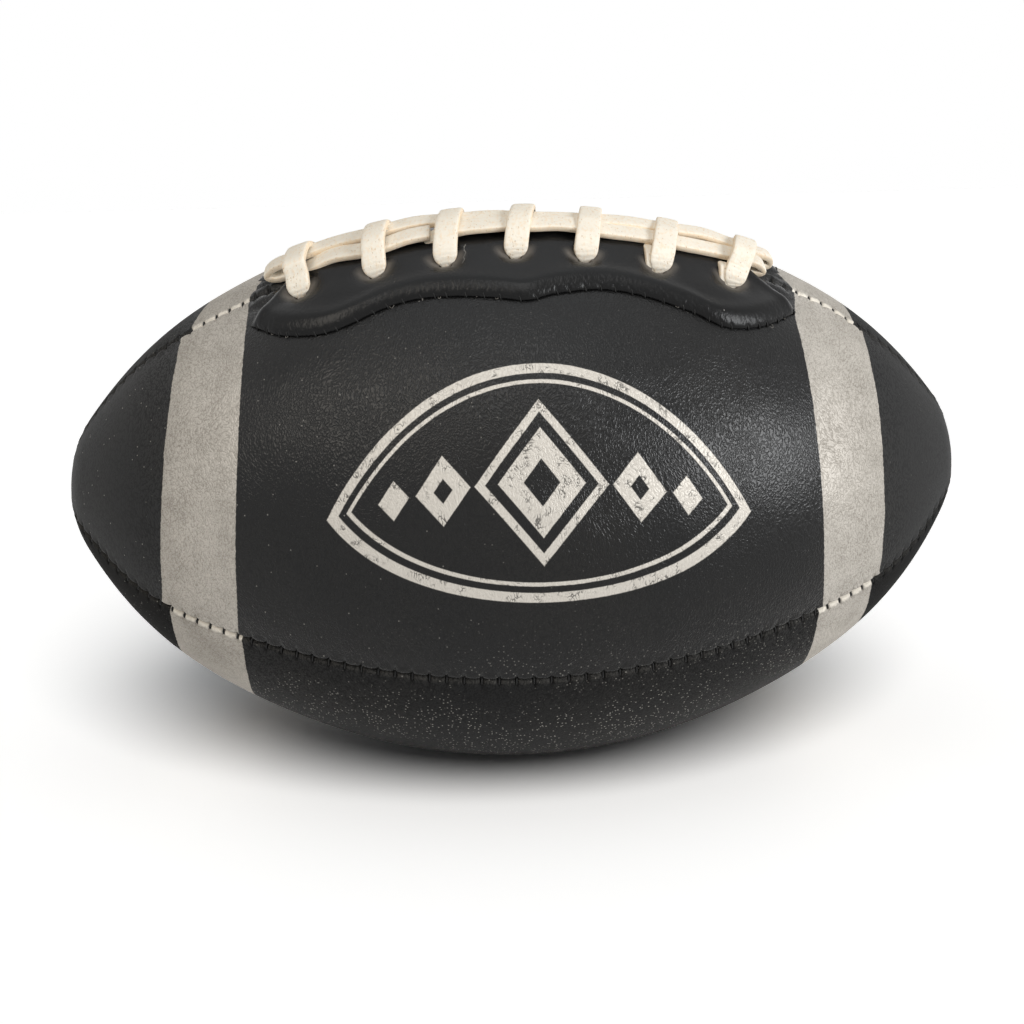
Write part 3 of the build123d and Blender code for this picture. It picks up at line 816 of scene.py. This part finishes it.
def lace_shade(start, coords):
    """Cream leather with pores and fibre lines, tan cut edges and creases beside the holes."""
    run, edge, crease = start.node("ShaderNodeAttribute", {"attribute_name": "lace"}, out="Vector").parts()
    fibres = coords.stretch((1.0, 0.7, 0.7)).noise(1100, 3, 0.6)
    pores = specks(coords.stretch((1.0, 0.6, 0.7)), 1150, 0.62, 0.24)
    folds = (run * 5.2 + edge * 2.2 + coords.noise(260, 2) * 9).sine() * crease
    cut = abs(edge).rise(0.90, 1.0)
    cream = (cut * 0.7 + fibres.rise(0.46, 0.72) * 0.7).least(1).mix(CREAM, LIGHT_TAN)
    cream = (pores * 0.6 + folds.rise(0.2, 1.0) * 0.15).mix(cream, TAN)
    return {
        "Base Color": cream,
        "Roughness": 0.55 + 0.15 * fibres,
        "height_mm": fibres * 0.12 - pores * 0.10 - folds * 0.05,
    }


lace_leather = finish("lace_leather", lace_shade, Specular_IOR_Level=0.3)

# %% The lace
LACE_WIDTH = 6.1
LACE_THICKNESS = 2.05
SECTION_POWER = 5
SECTION_POINTS = 28


def ribbon(path, count, flat_side=(0, 1, 0), wide_mm=(LACE_WIDTH, LACE_WIDTH), sunk=None, crease=None):
    """A strip carried along a path of (along, across, out) points, in mm.

    The cross-section is a rounded oblong: |a|^p + |b|^p = 1. Its wide way is the flat side, made square to
    the path. Where the ends are sunk in holes, the width falls to them as a quarter round, until the path is
    sunk by that length. Crease marks how far the strip is creased.
    """
    spine = along(path, count)
    tangent = np.gradient(spine, axis=0)
    tangent = tangent / np.linalg.norm(tangent, axis=1, keepdims=True)
    wide = np.broadcast_to(np.asarray(flat_side, float), spine.shape)
    wide = wide - (wide * tangent).sum(axis=1, keepdims=True) * tangent
    wide = wide / np.linalg.norm(wide, axis=1, keepdims=True)
    thick = np.cross(tangent, wide)
    angle = np.linspace(0, 2 * np.pi, SECTION_POINTS, endpoint=False)
    power = 2 / SECTION_POWER
    a = np.sign(np.cos(angle)) * np.abs(np.cos(angle))**power
    b = np.sign(np.sin(angle)) * np.abs(np.sin(angle))**power * LACE_THICKNESS / 2
    steps = np.linspace(0, 1, count)
    run = np.concatenate([[0], np.cumsum(np.linalg.norm(np.diff(spine, axis=0), axis=1))])
    half = np.linspace(*wide_mm, count)[:, None] / 2
    if sunk is not None:
        to_end = np.minimum(run, run[-1] - run)[:, None]
        half = half * np.maximum(rounded(to_end - sunk, wide_mm[1] / 2), 0.4)
    rings = spine[:, None] + wide[:, None] * (a * half)[..., None] + thick[:, None] * b[:, None]
    caps = [spine[:1, None].repeat(len(angle), axis=1), spine[-1:, None].repeat(len(angle), axis=1)]
    rings = np.concatenate([caps[0], rings, caps[1]])
    fold = np.zeros(count) if crease is None else spline(np.linspace(0, 1, len(crease)), crease, steps)[:, 0]
    marks = np.stack(np.broadcast_arrays(run[:, None], a, np.clip(fold, 0, 1)[:, None]), axis=-1)
    marks = np.concatenate([marks[:1], marks, marks[-1:]])
    return on_skin(rings), marks


def cross_lace(hole, lean, top):
    """One cross lace, from deep in the rear hole over both strands to deep in the front hole."""
    arc, spot = hole
    rear = [-REAR_SPOT, -12.8, -12.0, -9.4, -4.2, 0.6, 3.8]
    front = [spot - 4.4, spot - 2.5, spot - 1.3, spot - 0.9, spot - 0.9]
    across = np.array(rear + front)
    out = np.array([-3.0, 0.2, 2.9, 5.2, top, top + 0.4, top - 0.1, 5.0, 3.6, 1.9, -0.2, -3.0])
    path = np.stack([arc + lean * (spot - across) / (spot + 9), across, out], axis=1)
    crease = [0, 0.2, 0.1, 0, 0, 0, 0, 0.15, 0.5, 0.8, 1]
    return ribbon(path, 96, (1, 0, 0), (6.3, 7.3), 3.3, crease)


def under_leg(hole):
    """The layer under a cross lace that comes up out of the same front hole."""
    arc, spot = hole
    path = [
        (arc - 0.4, -1.0, 2.2), (arc - 0.5, 4.5, 2.5), (arc - 0.6, 7.6, 3.1),
        (arc - 0.5, spot - 2.4, 2.4), (arc - 0.3, spot - 1.2, 0.8), (arc - 0.2, spot - 0.9, -2.5),
    ]
    return ribbon(path, 36, (1, 0, 0), (7.0, 7.0), 1.6)


grids = [cross_lace(hole, lean, top) for hole, lean, top in zip(HOLES, LACE_LEAN, LACE_TOP)]
grids += [under_leg(hole) for hole in HOLES[5:]]
right_loop = [
    (75, -7.9, 1.2), (79.2, -8.4, 1.5), (81.7, -8.7, 2.5), (81.2, -8.5, 3.7), (78.2, -7.8, 4.6),
    (73, -6.7, 4.9),
]
rear_run = [
    (66, -5.9, 5.1), (59, -6.0, 5.5), (46.5, -5.0, 4.8), (33, -4.3, 4.75), (22.5, -4.2, 4.2),
    (12.5, -4.4, 3.95), (1.5, -4.5, 4.0), (-7, -4.7, 4.6), (-18.5, -5.0, 4.6), (-29.4, -5.4, 5.3),
    (-40.5, -5.0, 5.0), (-47.6, -4.9, 5.2), (-55.4, -5.5, 5.2),
]
left_loop = [
    (-64, -5.5, 5.0), (-70, -5.6, 4.9), (-74.4, -5.7, 4.6), (-77.0, -5.8, 3.1), (-75.2, -5.6, 1.7),
    (-71.4, -4.8, 1.4), (-66.8, -2.2, 1.9), (-62, -0.2, 3.1), (-56, 0.1, 4.2),
]
tail = [(-46.4, 1.8, 4.2), (-38.3, 2.0, 4.3), (-32.5, 1.4, 4.8), (-25.2, 1.3, 4.9)]
grids.append(ribbon(np.concatenate([right_loop, rear_run, left_loop, tail]), 420))
front_start = [(-28.5, 1.2, 2.0), (-23, 1.2, 3.5), (-16, 1.3, 5.0), (-8, 1.25, 5.2)]
front_run = [
    (-2.3, 1.1, 5.2), (4.6, 1.6, 5.2), (10.6, 1.0, 5.2), (17.6, 1.4, 5.1), (25.2, 1.6, 4.4),
    (32.2, 1.3, 4.2), (41.3, 1.2, 4.2), (48.9, 1.5, 4.3), (56.3, 0.8, 4.3),
]
front_end = [
    (63, 0.2, 4.4), (68.5, -0.1, 4.7), (72.8, -0.4, 4.6), (75.9, -0.6, 4.1), (77.2, -0.7, 3.0),
    (75.6, -0.7, 1.9), (72, -0.4, 1.4), (68.5, 0.1, 1.1),
]
grids.append(ribbon(np.concatenate([front_start, front_run, front_end]), 220))
piece("lacing", grids, lace_leather, ["lace"], "lace")

# %% [markdown]
# The sewing thread is black and waxed. Each seam stitch shows only as a short bar in its notch. Along
# the facings the thread comes over the edge at each nick, and loose ends of fibre stand out. There are
# hundreds of stitches, so each is a thin tube with few faces, and all tubes of a seam are one array.

# %% The finish of the thread
THREAD_BLACK = colour(0.006, 0.006, 0.006)
THREAD_GREY = colour(0.05, 0.048, 0.045)
FIBRE_GREY = colour(0.22, 0.205, 0.185)


def thread_shade(start, coords):
    """Black waxed thread with a twist of fine grey fibres. The first mark is 1 on a loose end."""
    loose = start.node("ShaderNodeAttribute", {"attribute_name": "skin"}, out="Vector").parts()[0]
    twist = coords.noise(2600, 2)
    waxed = twist.rise(0.5, 0.8).mix(THREAD_BLACK, THREAD_GREY)
    return {
        "Base Color": loose.mix(waxed, FIBRE_GREY),
        "Roughness": 0.45 + 0.3 * twist,
        "height_mm": twist * 0.08,
    }


thread_finish = finish("sewing_thread", thread_shade, Specular_IOR_Level=0.25)


# %% The stitches
SEAM_BAR = np.array([(-0.5, -1.9), (0.1, -1.0), (0.9, -0.5), (1.7, -0.45), (2.3, -0.8), (2.6, -1.8)])
EDGE_STITCH = np.array([
    (-1.0, -0.3, 1.1), (-0.6, -0.15, 1.0), (-0.2, 0.1, 0.65), (0.1, 0.25, 0.3), (0.35, 0.3, -0.1),
])
LOOSE_ENDS = 10
SEAM_THREAD, EDGE_THREAD, FIBRE = 0.32, 0.22, 0.07


def tubes(paths, radius, sides=5):
    """Thin tubes along many short paths at once: (tube, point, 3) in flat mm, one grid each."""
    tangent = np.gradient(paths, axis=1)
    tangent = tangent / np.linalg.norm(tangent, axis=-1, keepdims=True)
    guide = np.cross(tangent, np.array([0.31, 0.21, 0.93]))
    guide = guide / np.linalg.norm(guide, axis=-1, keepdims=True)
    other = np.cross(tangent, guide)
    angle = np.linspace(0, 2 * np.pi, sides, endpoint=False)
    ring = guide[:, :, None] * np.cos(angle)[:, None] + other[:, :, None] * np.sin(angle)[:, None]
    body = paths[:, :, None] + radius * ring
    first = paths[:, :1, None].repeat(sides, axis=2)
    last = paths[:, -1:, None].repeat(sides, axis=2)
    return np.concatenate([first, body, last], axis=1)


def seam_stitches(name, turn, side, arcs, node):
    """The bars of one seam: out of the gap and over the turned edge of the panel on one side of it."""
    paths = np.zeros((len(arcs), len(SEAM_BAR), 3))
    paths[..., 0] = arcs[:, None] + 0.1 * np.sin(arcs * 7.7)[:, None]
    small = np.minimum(1, meridian(arcs)[1] / 26)[:, None]
    paths[..., 1] = side * SEAM_BAR[:, 0] * small
    paths[..., 2] = SEAM_BAR[:, 1] * small
    arc, across, stand = np.moveaxis(tubes(paths, SEAM_THREAD), -1, 0)
    points = skin(arc, turn + across / np.maximum(meridian(arc)[1], 1.0), stand)
    grids = [(grid, np.zeros(3)) for grid in points]
    piece(name, grids, thread_finish, [node], "skin")


left_arcs = stitch_arcs[stitch_arcs < SLIT_LEFT]
right_arcs = stitch_arcs[stitch_arcs > SLIT_RIGHT]
seam_stitches("lace_seam_stitches_left", 0.0, -1, left_arcs, "seam_thread_lace_left")
seam_stitches("lace_seam_stitches_right", 0.0, -1, right_arcs, "seam_thread_lace_right")
seam_stitches("front_bottom_stitches", np.pi / 2, 1, stitch_arcs, "seam_thread_front_bottom")
seam_stitches("bottom_rear_stitches", np.pi, -1, stitch_arcs, "seam_thread_bottom_rear")
seam_stitches("rear_top_stitches", -np.pi / 2, 1, stitch_arcs, "seam_thread_rear_top")


def over_edge(spots, bar):
    """Paths on the flat from (out of the edge, along it, up) bars, laid at spots along the wavy edge."""
    here = spline(wavy_run, wavy, spots)
    step = spline(wavy_run, np.gradient(wavy, wavy_run, axis=0), spots)
    step = step / np.linalg.norm(step, axis=1, keepdims=True)
    away = np.stack([-step[:, 1], step[:, 0]], axis=1)
    flat = here[:, None] + away[:, None] * bar[..., :1] + step[:, None] * bar[..., 1:2]
    return np.concatenate([flat, bar[..., 2:]], axis=-1)


def facing_stitches(name, side, node):
    """The thread at each nick of a facing's edge, and loose ends that curl out of it."""
    spots = np.sort(draw.uniform(4, wavy_run[-1] - 4, LOOSE_ENDS))
    lean = draw.uniform(-1.2, 1.2, (LOOSE_ENDS, 1))
    size = draw.uniform(0.4, 1.7, (LOOSE_ENDS, 1))
    bow = np.linspace(0, 1, 5)
    beyond = size * np.sin(2.4 * bow) - 0.3
    beside = lean * size * (1 - np.cos(2.4 * bow))
    curl = np.stack([beyond, beside, 0.3 + 0.5 * size * bow], axis=-1)
    threads = over_edge(nicks, np.broadcast_to(EDGE_STITCH, (len(nicks), *EDGE_STITCH.shape)))
    loose = over_edge(spots, curl)
    flip = np.array([1, side, 1])
    grids = [(grid, np.zeros(3)) for grid in on_skin(tubes(threads * flip, EDGE_THREAD))]
    grids += [(grid, np.array([1.0, 0, 0])) for grid in on_skin(tubes(loose * flip, FIBRE, 4))]
    piece(name, grids, thread_finish, [node], "skin")


facing_stitches("front_facing_stitches", 1, "facing_thread_front")
facing_stitches("top_facing_stitches", -1, "facing_thread_top")

# %% [markdown]
# Inside the cover are pieces that nobody sees while the ball is whole: canvas linings, the tongue under the
# slit, the bladder and its valve. Their solids are right as they are, so they only get finishes: a plain
# weave, plain leather and two kinds of rubber.

# %% Finishes of the inner pieces
CANVAS_LIGHT = colour(0.62, 0.56, 0.45)
CANVAS_DARK = colour(0.40, 0.35, 0.27)
CANVAS_REPEAT = 0.0024
RUBBER = colour(0.03, 0.028, 0.026)
RUBBER_BLOOM = colour(0.07, 0.066, 0.06)


def canvas_shade(start, coords):
    """Plain weave: the product of two sine waves, a thread every 1.2 mm."""
    x, y, z = coords.parts()
    wave = 2 * np.pi / CANVAS_REPEAT
    weave = (x * wave).sine() * ((y + z) * wave).sine()
    return {
        "Base Color": (weave * 0.35 + coords.noise(900, 2)).rise(0.2, 1.0).mix(CANVAS_DARK, CANVAS_LIGHT),
        "Roughness": 0.85 + 0.1 * weave,
        "height_mm": weave * 0.15,
    }


def rubber_shade(start, coords):
    """Moulded rubber with a bloom of fine dust."""
    bloom = coords.noise(120, 3)
    return {
        "Base Color": bloom.rise(0.35, 0.75).mix(RUBBER, RUBBER_BLOOM),
        "Roughness": 0.5 + 0.25 * bloom,
        "height_mm": coords.noise(1600, 2) * 0.04,
    }


inner = {
    "lining": finish("lining_canvas", canvas_shade),
    "lace_tongue": finish("tongue_leather", facing_shade),
    "bladder": finish("bladder_rubber", rubber_shade),
    "valve": finish("valve_rubber", rubber_shade),
}
for node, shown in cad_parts.items():
    for start_of_name, material in inner.items():
        if node.startswith(start_of_name):
            shown.data.materials.clear()
            shown.data.materials.append(material)
            print(node, "gets", material.name)

# %% [markdown]
# The ball lies on white paper in a bright room. A large soft light stands low on the right, a weaker and
# warmer one higher on the left, and light comes from the front and from the ceiling. The mirror images of the
# first two are the soft shines on the leather. Low lights throw long shadows, so all but the ceiling's are
# kept off the floor by light linking. The floor has its own light instead, halfway up in front, with a
# short shadow. It is lit a little under white, so for the camera its colour is scaled to white, and the
# shadow keeps its share of it.

# %% The floor
FLOOR_WHITE = 0.9
FLOOR_FOR_CAMERA = 1.33
FLOOR_REACH = 8.0
FLOOR_CORNERS = ((-1, -1), (1, -1), (1, 1), (-1, 1))


def seen_rays(tree):
    """A wire that is 1 for rays from the camera, for mirror images and through glass, and 0 for others."""
    rays = Wire(tree).node("ShaderNodeLightPath").socket.node.outputs
    seen = Wire(tree, rays["Is Camera Ray"]).most(Wire(tree, rays["Is Glossy Ray"]))
    return seen.most(Wire(tree, rays["Is Transmission Ray"]))


floor_mesh = bpy.data.meshes.new("floor")
corners = [(x * FLOOR_REACH, y * FLOOR_REACH, 0) for x, y in FLOOR_CORNERS]
floor_mesh.from_pydata(corners, [], [(0, 1, 2, 3)])
floor = bpy.data.objects.new("floor", floor_mesh)
bpy.context.collection.objects.link(floor)
paper = bpy.data.materials.new("floor_paper")
paper.use_nodes = True
white = FLOOR_WHITE + seen_rays(paper.node_tree) * (FLOOR_FOR_CAMERA - FLOOR_WHITE)
matt = white.node("ShaderNodeBsdfDiffuse", None, {"Color": white})
paper.node_tree.links.new(matt.socket, paper.node_tree.nodes["Material Output"].inputs["Surface"])
floor_mesh.materials.append(paper)
print("floor of", 2 * FLOOR_REACH, "m")


# %% The light
WHITE = colour(1, 1, 1)
ROOM_FILL = 0.11
ROOM_FOR_CAMERA = 1.0


def sun(name, strength, turn, rise, spread, tint, falls_on=None):
    """A broad sun from an azimuth (0 is the front, + to the right) and a height over the floor.

    It falls on what its collection lists, or on everything.
    """
    data = bpy.data.lights.new(name, "SUN")
    data.energy = strength
    data.angle = np.radians(spread)
    data.color = tint
    lamp = bpy.data.objects.new(name, data)
    lamp.rotation_euler = (np.radians(90 - rise), 0, np.radians(turn))
    lamp.light_linking.receiver_collection = falls_on
    bpy.context.collection.objects.link(lamp)
    print(name, "light from", turn, "degrees, height", rise)


only_floor = bpy.data.collections.new("only_floor")
only_floor.objects.link(floor)
off_floor = bpy.data.collections.new("off_floor")
off_floor.objects.link(floor)
off_floor.collection_objects[0].light_linking.link_state = "EXCLUDE"

sun("right_light", strength=2.15, turn=56, rise=16, spread=26, tint=(0.97, 0.985, 1.0), falls_on=off_floor)
sun("left_light", strength=0.75, turn=-44, rise=38, spread=28, tint=(1.0, 0.93, 0.83), falls_on=off_floor)
sun("front_light", strength=0.46, turn=5, rise=52, spread=28, tint=(1.0, 0.985, 0.965), falls_on=off_floor)
sun("floor_light", strength=2.42, turn=8, rise=45, spread=36, tint=(1.0, 0.985, 0.965), falls_on=only_floor)
sun("ceiling_light", strength=0.42, turn=10, rise=80, spread=60, tint=(0.91, 0.96, 1.0))

world = bpy.data.worlds.new("white_room")
bpy.context.scene.world = world
world.use_nodes = True
seen = seen_rays(world.node_tree)
fill_light = seen.node("ShaderNodeBackground", None, {"Color": WHITE, "Strength": ROOM_FILL})
backdrop = seen.node("ShaderNodeBackground", None, {"Color": WHITE, "Strength": ROOM_FOR_CAMERA})
both = seen.node("ShaderNodeMixShader", None, {0: seen, 1: fill_light, 2: backdrop})
world.node_tree.links.new(both.socket, world.node_tree.nodes["World Output"].inputs["Surface"])
